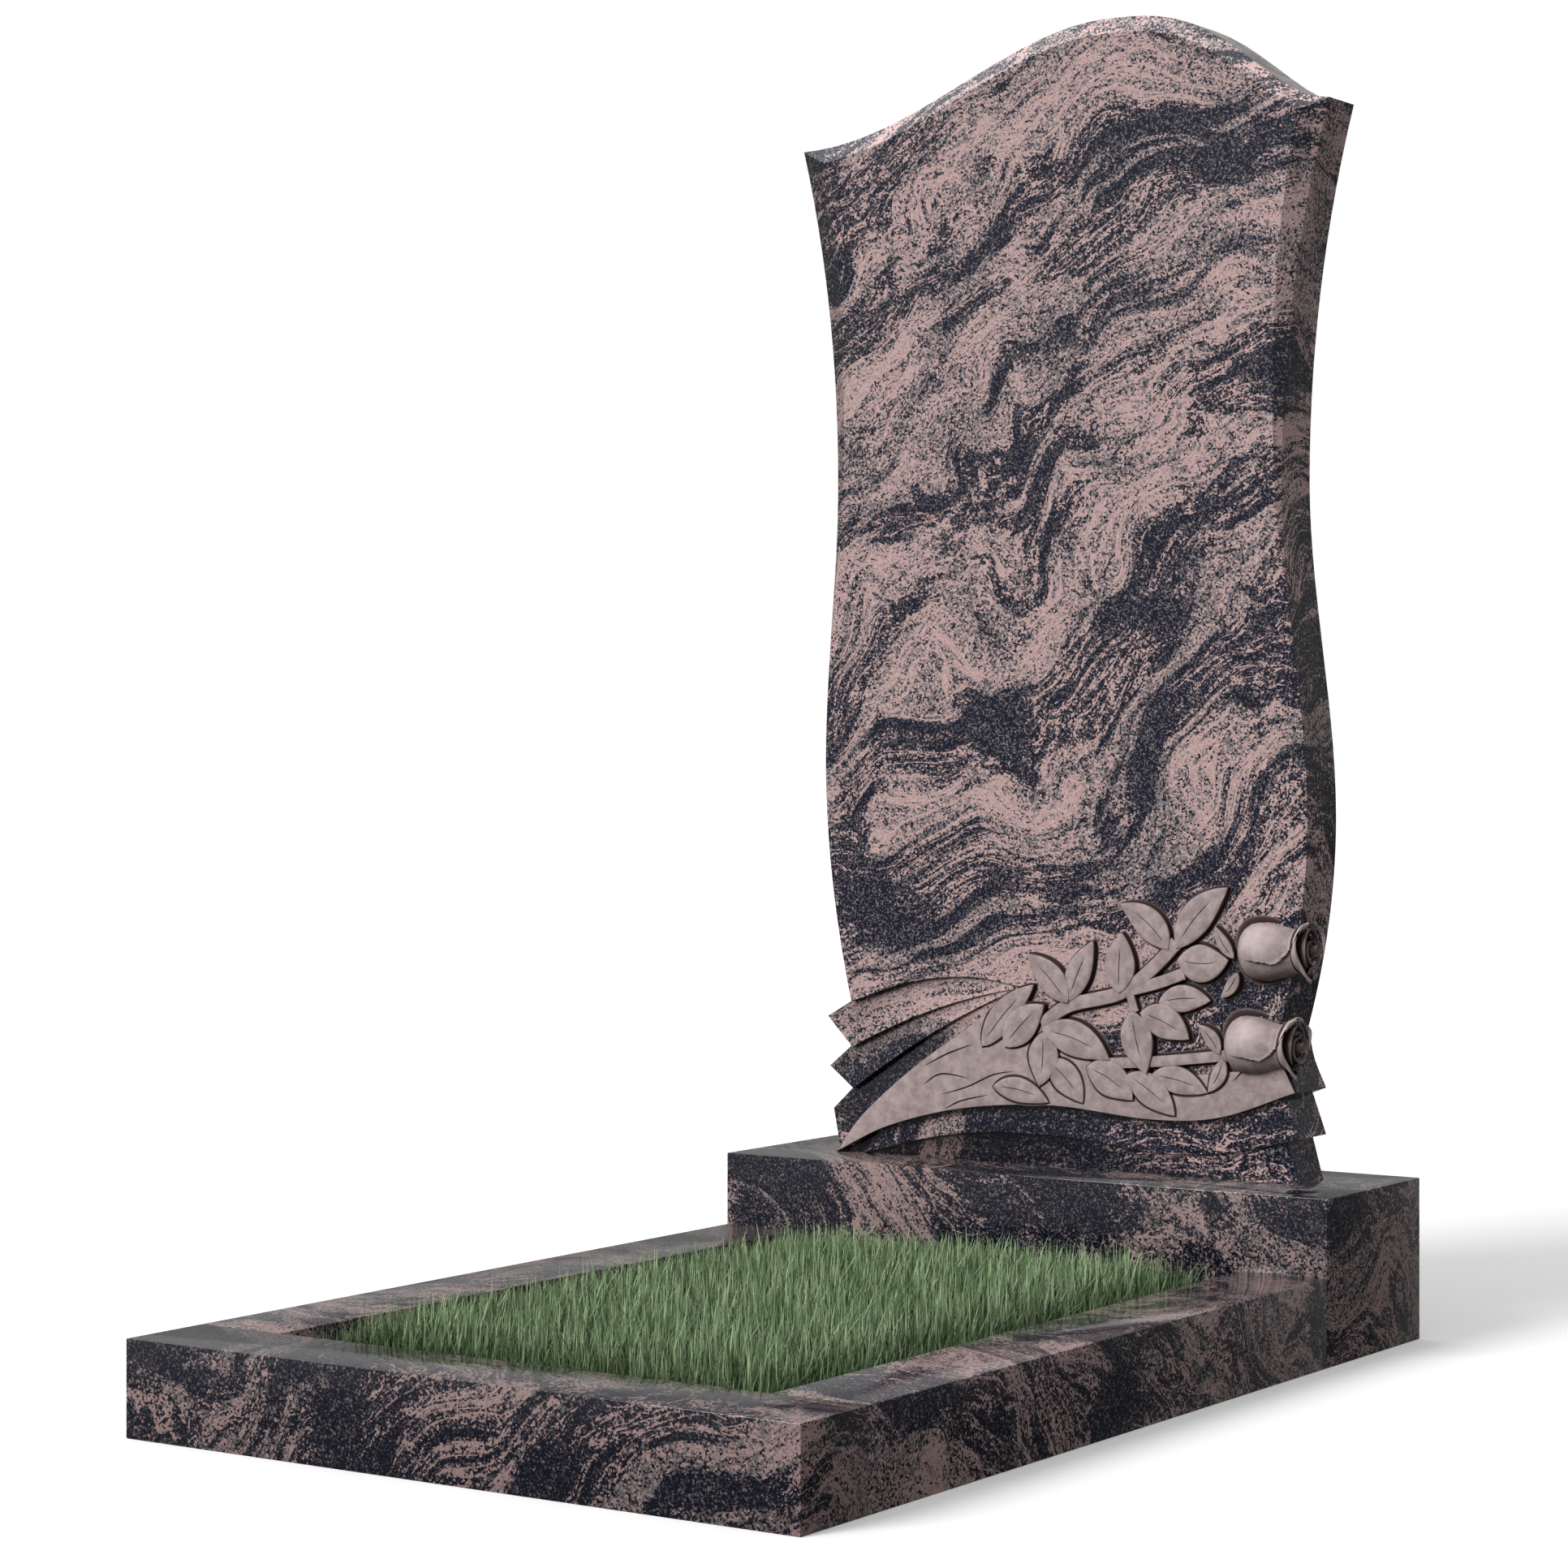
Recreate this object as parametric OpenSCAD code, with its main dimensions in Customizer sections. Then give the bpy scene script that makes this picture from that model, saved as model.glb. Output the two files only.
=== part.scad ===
// Carved granite headstone on a plinth, with kerb stones around a grass bed.
// The face looks along -Y. The origin is at the centre of the footprint, on the ground.

/* [Overall] */
// Width across the kerb stones and the plinth
set_w = 650; // [560:5:800]
// Length from the front kerb to the back of the plinth
set_l = 1030; // [850:10:1400]

/* [Kerb] */
// Height of the kerb stones
kerb_h = 80; // [60:5:120]
// Width of each side kerb stone
side_kerb_w = 85; // [60:5:110]
// Depth of the front kerb stone
front_kerb_d = 88; // [60:4:120]
// Depth of the grass bed below the top of the kerb
turf_drop = 27; // [15:1:45]

/* [Plinth] */
// Height of the plinth above the ground
plinth_h = 150; // [125:5:220]
// Depth of the plinth, front to back
plinth_d = 195; // [150:5:260]
// Distance from the front of the plinth back to the polished face of the headstone
stone_setback = 72; // [40:1:85]

/* [Headstone] */
// Thickness of the stone at its polished face
stone_t = 60; // [50:2:90]
// Height of the crown above the plinth
crown_h = 1088; // [900:4:1300]
// Fall from the crown to the shoulders
crown_rise = 96; // [70:2:120]
// How far the crown stands to the right of the middle
crown_shift = 54; // [0:2:60]
// Width across the flared shoulders
shoulder_w = 576; // [480:4:640]
// Width at the waist
waist_w = 486; // [420:4:600]
// Height of the waist above the plinth
waist_h = 646; // [580:4:700]
// Half width at the belly on the left
belly_left = 256; // [225:1:300]
// Height of the left belly
belly_left_h = 385; // [340:5:440]
// Half width at the belly on the right
belly_right = 270; // [225:1:300]
// Height of the right belly
belly_right_h = 335; // [300:5:420]

/* [Bevel] */
// Width of the bevel along the top
top_bevel_w = 16; // [6:1:24]
// Width of the side bevel where it meets the shoulder
side_bevel_w = 27; // [6:1:36]
// How deep both bevels cut into the face
bevel_d = 9; // [3:1:15]
// Height at which the side bevel dies out
bevel_end_h = 490; // [460:10:600]

/* [Drapery] */
// Half width of the foot of the stone, which the carving is laid out on
foot_half = 250; // [215:1:300]
// Height of the point where the folds on the left gather
gather_h = 171; // [150:1:190]
// How far one layer of cloth lies behind the next
layer_step = 4; // [2:0.5:7]
// How far a fold's upper edge sinks below its lower edge
fold_sink = 7; // [3:0.5:10]

/* [Relief] */
// How far the matt cloth stands proud of the polished face
cloth_up = 4; // [2:0.5:7]
// How far the leaves stand proud of the polished face
leaf_up = 7; // [4:0.5:10]
// Largest radius of a rose
rose_r = 28; // [20:1:34]
// Length of a rose from its base to the rim of its outer petals
rose_l = 70; // [55:1:90]
// How far a rose reaches past the edge of the stone
rose_over = 15; // [4:1:34]

/* [Hidden] */

granite = "rosybrown";
dark_granite = "dimgray";

front_y = -set_l / 2;
back_y = set_l / 2;
plinth_front_y = back_y - plinth_d;
bed_front_y = front_y + front_kerb_d;
bed_l = plinth_front_y - bed_front_y;
bed_w = set_w - 2 * side_kerb_w;
stone_back_y = plinth_front_y + stone_setback + stone_t;

shoulder_h = crown_h - crown_rise;
shoulder_half = shoulder_w / 2;
waist_half = waist_w / 2;

// The carving is laid out on a foot 250 mm to each side and a gathering point 171 mm up.
layout_half = 250;
layout_gather_h = 171;
wide = foot_half / layout_half;
tall = gather_h / layout_gather_h;
function laid(p) = [p[0] * wide, p[1] * tall];
function laid_all(points) = [for (p = points) laid(p)];

// Slopes of the two side curves, as change of half width for each unit of height
shoulder_slope = 0.27;
neck_slope_left = 0.24;
neck_slope_right = 0.28;

neck_left = laid([-226, 149]);
neck_right = laid([242, 141]);
side_steps = 14;
top_steps = 36;

// ---- curves ----

// Cubic between two values with a given slope at each end
function blend_curve(a, b, slope_a, slope_b, span, t) =
    a * (2 * pow(t, 3) - 3 * pow(t, 2) + 1) + b * (3 * pow(t, 2) - 2 * pow(t, 3))
    + span * (slope_a * (pow(t, 3) - 2 * pow(t, 2) + t) + slope_b * (pow(t, 3) - pow(t, 2)));

// Points [half width, height] from height h0 up to h1, without the last one
function side_run(x0, h0, s0, x1, h1, s1) =
    [for (i = [0 : side_steps - 1])
        let (t = i / side_steps)
        [blend_curve(x0, x1, s0, s1, h1 - h0, t), h0 + (h1 - h0) * t]];

// One side from the neck to the shoulder, as [half width, height]
function side_profile(neck_x, neck_h, neck_slope, belly_x, belly_h) = concat(
    side_run(neck_x, neck_h, neck_slope, belly_x, belly_h, 0),
    side_run(belly_x, belly_h, 0, waist_half, waist_h, 0),
    side_run(waist_half, waist_h, 0, shoulder_half, shoulder_h, shoulder_slope));

// Smooth curve through a few points
function spline_point(p0, p1, p2, p3, t) =
    0.5 * (2 * p1 + (p2 - p0) * t + (2 * p0 - 5 * p1 + 4 * p2 - p3) * pow(t, 2)
    + (3 * p1 - p0 - 3 * p2 + p3) * pow(t, 3));

function spline(points, steps) =
    let (last = len(points) - 1)
    [for (i = [0 : last - 1])
        let (
            before = i > 0 ? points[i - 1] : 2 * points[0] - points[1],
            after = i + 2 <= last ? points[i + 2] : 2 * points[last] - points[last - 1])
        for (j = [0 : steps - (i == last - 1 ? 0 : 1)])
            spline_point(before, points[i], points[i + 1], after, j / steps)];

function reversed(list) = [for (i = [len(list) - 1 : -1 : 0]) list[i]];

// ---- outline of the polished face ----

// Ogee top: half a cosine on each side of the crown. The right side stays full and then drops
// to the shoulder, and the left one runs out in a long hollow.
right_run = shoulder_half - crown_shift;
left_run = shoulder_half + crown_shift;
right_fullness = 1.5;
left_fullness = 0.93;
function ogee(u, fullness) = (1 + cos(180 * pow(min(u, 1), fullness))) / 2;
// Height of the top at a distance from the middle
function top_at(x) =
    shoulder_h + crown_rise * (x > crown_shift
        ? ogee((x - crown_shift) / right_run, right_fullness)
        : ogee((crown_shift - x) / left_run, left_fullness));
top_points = [for (i = [0 : top_steps])
    let (x = shoulder_half - shoulder_w * i / top_steps) [x, top_at(x)]];

right_side = side_profile(neck_right[0], neck_right[1], neck_slope_right, belly_right, belly_right_h);
left_side = reversed([for (p = side_profile(-neck_left[0], neck_left[1], neck_slope_left,
    belly_left, belly_left_h)) [-p[0], p[1]]]);

// Lower edge of the matt cloth, from its tip at the left foot to the right edge
cloth_low = spline(laid_all([[-241, 0], [-180, 29], [-94, 51], [5, 59], [110, 52], [183, 58],
    [260, 85]]), 5);
// Upper edge of the matt cloth, from its tip to the gathering point
gather = laid([-34, 171]);
cloth_rise = spline(laid_all([[-241, 0], [-210, 39], [-151, 88], [-80, 136], [-34, 171]]), 4);
// Upper edge of the first fold, from the gathering point to the left outline
fold_top = spline(laid_all([[-34, 171], [-90, 178], [-156, 171], [-226, 149]]), 4);
flare_right = spline([laid([260, 85]), laid([248, 112]), neck_right], 4);

face_outline = concat(
    [for (i = [0 : len(flare_right) - 2]) flare_right[i]],
    right_side, top_points, left_side,
    [for (i = [len(fold_top) - 2 : -1 : 0]) fold_top[i]],
    [for (i = [len(cloth_rise) - 2 : -1 : 0]) cloth_rise[i]],
    [for (i = [1 : len(cloth_low) - 2]) cloth_low[i]]);

// ---- solids ----

function unit(v) = v / norm(v);
// Left-hand normal of the line from a to b
function left_of(a, b) = let (d = unit(b - a)) [-d[1], d[0]];

module slab(points, from, to) {
    translate([0, 0, from]) linear_extrude(to - from) polygon(points);
}

// Solid skin over a run of sections that all have the same number of corners.
// The sections turn anticlockwise as seen from the last towards the first,
// and each one is seen whole from its first corner.
module loft(sections) {
    corners = len(sections[0]);
    last = len(sections) - 1;
    walls = [for (i = [0 : last - 1]) for (j = [0 : corners - 1])
        let (
            next = (j + 1) % corners,
            a = i * corners + j,
            b = i * corners + next)
        each [[a, b + corners, a + corners], [a, b, b + corners]]];
    ends = [for (j = [1 : corners - 2])
        each [[0, j + 1, j], [last * corners, last * corners + j, last * corners + j + 1]]];
    polyhedron([for (section = sections) each section], concat(walls, ends), convexity = 4);
}

// ---- the polished block and its bevels ----

// How far the waste of a bevel cut reaches past the stone
clear = 6;
bevel_stations = 18;

// Half width of one side at a height above its belly
function side_at(h, belly_x, belly_h) =
    h > waist_h
    ? blend_curve(waist_half, shoulder_half, 0, shoulder_slope, shoulder_h - waist_h,
        (h - waist_h) / (shoulder_h - waist_h))
    : blend_curve(belly_x, waist_half, 0, 0, waist_h - belly_h, (h - belly_h) / (waist_h - belly_h));

// Width of the side bevel at a height: full at the shoulder, below zero under its lower end
bevel_taper = 1.2;
bevel_run_out = 0.06;
function side_bevel_at(h) =
    let (u = (h - bevel_end_h) / (shoulder_h - bevel_end_h))
    u < 0 ? side_bevel_w * u : side_bevel_w * pow(u, bevel_taper);

// Waste cut away along one side, for the right when mirror_x is 1 and the left when it is -1
module side_bevel_cut(mirror_x, belly_x, belly_h) {
    fall = bevel_d / side_bevel_w;
    low = bevel_end_h - bevel_run_out * (shoulder_h - bevel_end_h);
    high = shoulder_h + 2 * clear;
    sections = [for (i = [0 : bevel_stations])
        let (
            h = low + (high - low) * i / bevel_stations,
            edge = side_at(h, belly_x, belly_h),
            w = side_bevel_at(h))
        [[edge - w - 1, h, stone_t + fall],
            [edge + clear, h, stone_t - fall * (w + clear)],
            [edge + clear, h, stone_t + clear]]];
    loft(mirror_x > 0
        ? sections
        : [for (section = sections) reversed([for (p = section) [-p[0], p[1], p[2]]])]);
}

// Waste cut away along the top
module top_bevel_cut() {
    fall = bevel_d / top_bevel_w;
    left_end = -shoulder_half - 2 * clear;
    right_end = shoulder_half + 2 * clear;
    stations = 2 * bevel_stations + 1;
    loft([for (i = [0 : stations])
        let (x = left_end + (right_end - left_end) * i / stations, h = top_at(x))
        [[x, h - top_bevel_w - 1, stone_t + fall],
            [x, h + clear, stone_t + clear],
            [x, h + clear, stone_t - fall * (top_bevel_w + clear)]]]);
}

module polished_block() {
    difference() {
        slab(face_outline, 0, stone_t);
        side_bevel_cut(1, belly_right, belly_right_h);
        side_bevel_cut(-1, belly_left, belly_left_h);
        top_bevel_cut();
    }
}

// ---- cloth layers below the face ----

// How far a layer runs up behind the one in front of it
lap = 14;
skirt_low = spline(laid_all([[-214, 0], [-127, 22], [-52, 30], [32, 29], [108, 21], [183, 25],
    [260, 42]]), 4);
module skirt_layer() {
    slab(concat(
        skirt_low,
        laid_all([[247, 78], [236, 100], [110, 52 + lap], [5, 59 + lap], [-94, 51 + lap],
            [-180, 29 + lap]])),
        0, stone_t - layer_step);
}

module base_layer() {
    slab(laid_all([[-236, 0], [257, 0], [246, 40], [236, 50], [108, 21 + lap], [-52, 30 + lap],
        [-140, 25 + lap], [-205, 16], [-234, 4]]),
        0, stone_t - 2 * layer_step);
}

// ---- folds on the left: three overlapping wedges that run out at the gathering point ----

fold_notches = laid_all([[-226, 149], [-226, 104], [-225, 63], [-241, 4]]);
fold_tips = laid_all([[-256, 133], [-254, 84], [-250, 42]]);
fold_bulge = laid_all([[-140, 196], [-130, 155], [-128, 134], [-120, 108]]);
// How far a fold reaches up behind the one above it, at the outline and at the gathering point
fold_lap = 5;
gather_lap = 2;
// How far the first fold's face lies behind the polished face, and each next fold behind that
fold_back = 1.5;
fold_back_step = 0.8;
// Where the crest of a fold lies between its lower and upper edges, and how far it sinks
crest_share = 0.45;
crest_sink = 0.35;
// How much of its slant a fold loses towards the gathering point
slant_loss = 0.75;
fold_steps = 8;

// Edge number k, from the outline to the gathering point, moved up so that folds overlap
function fold_edge(k, lift, end_lift) =
    [for (i = [0 : fold_steps])
        let (t = i / fold_steps, a = fold_notches[k], b = fold_bulge[k])
        pow(1 - t, 2) * a + 2 * t * (1 - t) * b + t * t * gather + [0, lift * (1 - t) + end_lift * t]];

module fold(k) {
    upper = fold_edge(k, k == 0 ? fold_lap / 2 : fold_lap, gather_lap);
    lower = fold_edge(k + 1, 0, -gather_lap);
    top = stone_t - fold_back - fold_back_step * k;
    loft([for (i = [0 : fold_steps])
        let (
            t = i / fold_steps,
            crest = i == 0 ? fold_tips[k] : upper[i] * crest_share + lower[i] * (1 - crest_share),
            sink = fold_sink * (1 - slant_loss * t))
        [[crest[0], crest[1], 0],
            [lower[i][0], lower[i][1], 0],
            [lower[i][0], lower[i][1], top],
            [crest[0], crest[1], top - crest_sink * sink],
            [upper[i][0], upper[i][1], top - sink],
            [upper[i][0], upper[i][1], 0]]]);
}

// ---- relief on the face: matt cloth, stems, leaves and roses ----

// How deep the foot of a relief piece is let into the stone
bed_in = 3;

module matt_cloth() {
    right_end = laid_all([[248, 108], [150, 96], [92, 92], [40, 106], [4, 128]]);
    slab(concat(
        cloth_low,
        right_end,
        [for (i = [len(cloth_rise) - 1 : -1 : 1]) cloth_rise[i]]),
        stone_t - bed_in, stone_t + cloth_up);
}

// Leaves, each as [base x, base height, direction, length, width]
LEAVES = [
    [130, 212, 141, 65, 30], [138, 213, 47, 79, 32], [78, 169, 87, 57, 33], [23, 158, 135, 63, 31],
    [23, 159, 65, 64, 26], [140, 202, 2, 53, 32], [199, 206, 124, 35, 13], [203, 193, 234, 30, 13],
    [-72, 112, 47, 84, 28], [-46, 113, 44, 60, 33], [-5, 131, 341, 77, 34], [-5, 129, 266, 52, 33],
    [-60, 74, 349, 62, 24], [0, 102, 315, 54, 30], [43, 98, 330, 57, 34], [92, 153, 285, 60, 34],
    [101, 152, 336, 56, 32], [120, 162, 4, 54, 26], [184, 117, 130, 34, 16], [188, 113, 243, 36, 16],
    [112, 94, 347, 60, 26], [86, 93, 325, 62, 30]];
leaf_steps = 7;
// Leaves that overlap differ in height by this much
tier_up = 0.35;
tiers = 5;

module leaf(data, tier) {
    base = laid([data[0], data[1]]);
    length = data[3] * wide;
    half = [for (i = [1 : leaf_steps - 1])
        let (t = i / leaf_steps) [length * t, data[4] / 2 * wide * pow(sin(180 * pow(t, 0.85)), 0.8)]];
    translate([base[0], base[1], stone_t - bed_in]) rotate([0, 0, data[2]])
        linear_extrude(bed_in + leaf_up - tier * tier_up)
            polygon(concat([[0, 0]], [for (p = half) [p[0], -p[1]]], [[length, 0]], reversed(half)));
}

// Stems as [width, points from the foot to the end]
STEMS = [
    [13, [[-6, 136], [23, 155], [78, 169], [112, 193], [138, 218]]],
    [11, [[88, 172], [118, 180], [146, 190]]],
    [10, [[60, 102], [119, 107], [192, 116]]],
    [8, [[88, 170], [94, 152]]]];

// How far a stem stands proud of the cloth
stem_up = 0.5;

module stem(data, up) {
    line = spline(laid_all(data[1]), 4);
    last = len(line) - 1;
    sides = [for (i = [0 : last])
        left_of(line[max(i - 1, 0)], line[min(i + 1, last)]) * data[0] / 2 * wide];
    slab(concat(
        [for (i = [0 : last]) line[i] - sides[i]],
        reversed([for (i = [0 : last]) line[i] + sides[i]])),
        stone_t - bed_in, stone_t + up);
}

// Roses, each as [height of its middle, tilt]
ROSES = [[212, 3], [127, 0]];
rose_profile = [[0, 0], [0.3, 0], [0.62, 0.06], [0.86, 0.16], [0.98, 0.3], [1, 0.42], [0.95, 0.56],
    [0.84, 0.68], [0.76, 0.76], [0.8, 0.86], [0.92, 0.95], [0.95, 1], [0.84, 1.01], [0.72, 0.95],
    [0.6, 0.97], [0.5, 1.02], [0.38, 1], [0.3, 0.96], [0.2, 1], [0, 1.02]];

// Half width of the right-hand outline at a height, between its two nearest points
function right_edge(h) = lookup(h, [for (p = concat(flare_right, right_side)) [p[1], p[0]]]);

module rose(data) {
    height = data[0] * tall;
    base_x = right_edge(height) + rose_over - rose_l;
    translate([base_x, height, stone_t]) rotate([0, 0, data[1]]) rotate([0, 90, 0])
        rotate_extrude($fn = 48)
            polygon([for (p = rose_profile) [p[0] * rose_r, p[1] * rose_l]]);
}

module stele() {
    color(granite)
        translate([0, stone_back_y, plinth_h])
            rotate([90, 0, 0])
                union() {
                    polished_block();
                    skirt_layer();
                    base_layer();
                    for (k = [0 : 2]) fold(k);
                    matt_cloth();
                    for (i = [0 : len(LEAVES) - 1]) leaf(LEAVES[i], i % tiers);
                    for (i = [0 : len(STEMS) - 1]) stem(STEMS[i], cloth_up + stem_up + tier_up * i);
                    for (r = ROSES) rose(r);
                }
}

module plinth() {
    color(dark_granite)
        translate([-set_w / 2, plinth_front_y, 0])
            cube([set_w, plinth_d, plinth_h]);
}

module front_kerb() {
    color(granite)
        translate([-set_w / 2, front_y, 0])
            cube([set_w, front_kerb_d, kerb_h]);
}

module side_kerb(outer_x) {
    color(granite)
        translate([outer_x, bed_front_y, 0])
            cube([side_kerb_w, bed_l, kerb_h]);
}

module left_kerb() {
    side_kerb(-set_w / 2);
}

module right_kerb() {
    side_kerb(set_w / 2 - side_kerb_w);
}

module turf() {
    color("darkolivegreen")
        translate([-bed_w / 2, bed_front_y, 0])
            cube([bed_w, bed_l, kerb_h - turf_drop]);
}

stele();
plinth();
front_kerb();
left_kerb();
right_kerb();
turf();
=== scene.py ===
import math
import random

import bmesh
import bpy
from mathutils import Matrix, Vector, noise


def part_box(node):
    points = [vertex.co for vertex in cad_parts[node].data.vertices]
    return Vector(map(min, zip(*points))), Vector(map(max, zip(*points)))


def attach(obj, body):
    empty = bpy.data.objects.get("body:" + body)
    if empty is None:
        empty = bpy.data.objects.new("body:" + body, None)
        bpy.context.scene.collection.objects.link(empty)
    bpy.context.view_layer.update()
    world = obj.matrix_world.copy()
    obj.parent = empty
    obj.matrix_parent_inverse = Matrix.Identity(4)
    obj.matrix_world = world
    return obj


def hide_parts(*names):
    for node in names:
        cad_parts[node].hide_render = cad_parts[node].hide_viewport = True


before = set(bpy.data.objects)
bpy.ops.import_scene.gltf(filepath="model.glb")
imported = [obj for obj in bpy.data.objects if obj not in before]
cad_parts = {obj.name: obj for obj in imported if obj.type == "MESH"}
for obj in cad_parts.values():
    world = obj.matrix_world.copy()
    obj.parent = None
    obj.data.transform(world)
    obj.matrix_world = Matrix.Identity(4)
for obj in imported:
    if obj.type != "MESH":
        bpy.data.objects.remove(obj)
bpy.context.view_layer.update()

MM = 0.001

# ---- places taken from the frame, in metres ----

plinth_low, plinth_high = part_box("plinth")
kerb_low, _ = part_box("front_kerb")
turf_low, turf_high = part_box("turf")
stone_setback = 72 * MM
face_y = plinth_low.y + stone_setback
# The carving is drawn flat, in millimetres: x to the right, y up from the plinth, z out of the face.
ON_FACE = (Matrix.Translation((0, face_y, plinth_high.z))
           @ Matrix.Rotation(math.radians(90), 4, "X") @ Matrix.Scale(MM, 4))

# ---- camera ----

# Where the camera stands, from the middle of the front kerb, and how far it is turned from straight on
camera_right = 1.781
camera_back = 2.161
camera_up = 0.5654
camera_turn = 34.227


def make_camera():
    """A long lens, held level, to the right of the front kerb."""
    data = bpy.data.cameras.new("view")
    data.sensor_width = 36
    data.lens = 85.4
    data.shift_y = -0.034
    data.clip_end = 50
    camera = bpy.data.objects.new("view", data)
    camera.location = (camera_right, kerb_low.y - camera_back, camera_up)
    camera.rotation_euler = (math.radians(90), 0, math.radians(camera_turn))
    bpy.context.collection.objects.link(camera)
    bpy.context.scene.camera = camera


make_camera()

# ---- shader helpers ----


class Value:
    """One output of a shader node, with arithmetic on it."""

    def __init__(self, paint, socket):
        self.paint = paint
        self.socket = socket

    def math(self, operation, *values):
        sockets = {i: value for i, value in enumerate(values)}
        return self.paint.node("ShaderNodeMath", {"operation": operation}, sockets)

    def __abs__(self):
        return self.math("ABSOLUTE", self)

    def __add__(self, other):
        return self.math("ADD", self, other)

    def __radd__(self, other):
        return self.math("ADD", other, self)

    def __sub__(self, other):
        return self.math("SUBTRACT", self, other)

    def __rsub__(self, other):
        return self.math("SUBTRACT", other, self)

    def __mul__(self, other):
        return self.math("MULTIPLY", self, other)

    def __rmul__(self, other):
        return self.math("MULTIPLY", other, self)


class Paint:
    """A material whose nodes are added one by one."""

    def __init__(self, name):
        self.material = bpy.data.materials.new(name)
        self.material.use_nodes = True
        self.tree = self.material.node_tree
        self.shader = self.tree.nodes["Principled BSDF"]

    def node(self, kind, settings=None, sockets=None, output=0):
        node = self.tree.nodes.new(kind)
        for name, setting in (settings or {}).items():
            setattr(node, name, setting)
        for name, value in (sockets or {}).items():
            self.feed(node.inputs[name], value)
        return Value(self, node.outputs[output])

    def feed(self, socket, value):
        if isinstance(value, Value):
            self.tree.links.new(value.socket, socket)
        else:
            socket.default_value = value

    def shade(self, **values):
        for name, value in values.items():
            self.feed(self.shader.inputs[name.replace("_", " ")], value)

    def place(self):
        return self.node("ShaderNodeTexCoord", output="Object")

    def mapped(self, point, move=(0, 0, 0), turn=(0, 0, 0), size=(1, 1, 1)):
        angles = tuple(math.radians(angle) for angle in turn)
        return self.node("ShaderNodeMapping", None,
                         {"Vector": point, "Location": move, "Rotation": angles, "Scale": size})

    def noise(self, point, scale, detail=2.0, roughness=0.5, output="Fac"):
        sockets = {"Vector": point, "Scale": scale, "Detail": detail, "Roughness": roughness}
        return self.node("ShaderNodeTexNoise", None, sockets, output)

    def cells(self, point, scale):
        """Small cells with a random colour each, as three random numbers."""
        sockets = {"Vector": point, "Scale": scale}
        return self.parts(self.node("ShaderNodeTexVoronoi", None, sockets, "Color"))

    def height(self, point):
        return self.node("ShaderNodeSeparateXYZ", None, {0: point}, output=2)

    def vector(self, operation, a, b, scale=None):
        sockets = {0: a, 1: b} if scale is None else {0: a, "Scale": scale}
        return self.node("ShaderNodeVectorMath", {"operation": operation}, sockets)

    def push(self, point, scale, amount):
        """The point moved about by soft noise."""
        swirl = self.noise(point, scale, output="Color")
        swirl = self.vector("SUBTRACT", swirl, (0.5, 0.5, 0.5))
        return self.vector("ADD", point, self.vector("SCALE", swirl, None, amount))

    def step(self, value, low, high):
        """0 below low, 1 above high, and smooth between them."""
        return self.node("ShaderNodeMapRange", {"interpolation_type": "SMOOTHSTEP"},
                         {"Value": value, "From Min": low, "From Max": high})

    def mix(self, share, a, b):
        return self.node("ShaderNodeMix", {"data_type": "RGBA"},
                         {0: share, 6: as_color(a), 7: as_color(b)}, output=2)

    def bump(self, height, strength, distance):
        return self.node("ShaderNodeBump", None,
                         {"Height": height, "Strength": strength, "Distance": distance})

    def attribute(self, name):
        return self.node("ShaderNodeAttribute", {"attribute_name": name}, None, "Fac")

    def parts(self, color):
        split = self.node("ShaderNodeSeparateColor", None, {0: color}).socket.node
        return [Value(self, output) for output in split.outputs]


def as_color(value):
    return (*value, 1) if isinstance(value, tuple) and len(value) == 3 else value


# ---- materials ----

PINK = (0.40, 0.25, 0.235)
PALE_PINK = (0.55, 0.40, 0.385)
GREY = (0.19, 0.165, 0.168)
NAVY = (0.008, 0.010, 0.030)
BLACK = (0.005, 0.005, 0.009)
MATT_DIM = (0.25, 0.195, 0.19)
MATT_BRIGHT = (0.41, 0.33, 0.325)
MATT_GRAIN = (0.12, 0.09, 0.085)
MATT_PAINTED_HIGHLIGHT = (0.66, 0.56, 0.55)
MATT_PAINTED_SHADE = (0.028, 0.013, 0.010)

# Scales are repeats per metre.
swirl_scale, swirl_push = 2.8, 0.42
ripple_scale, ripple_push = 10.0, 0.07
band_scale, band_stretch = 4.0, 4.2
vein_scale, vein_stretch = 14.0, 6.0
patch_scale = 7.0
grain_scale = 560
speck_scale = 900
grain_blur = 0.07
# Heights between which the low-lying navy fades out
navy_below, navy_above = 0.30, 0.85


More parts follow.
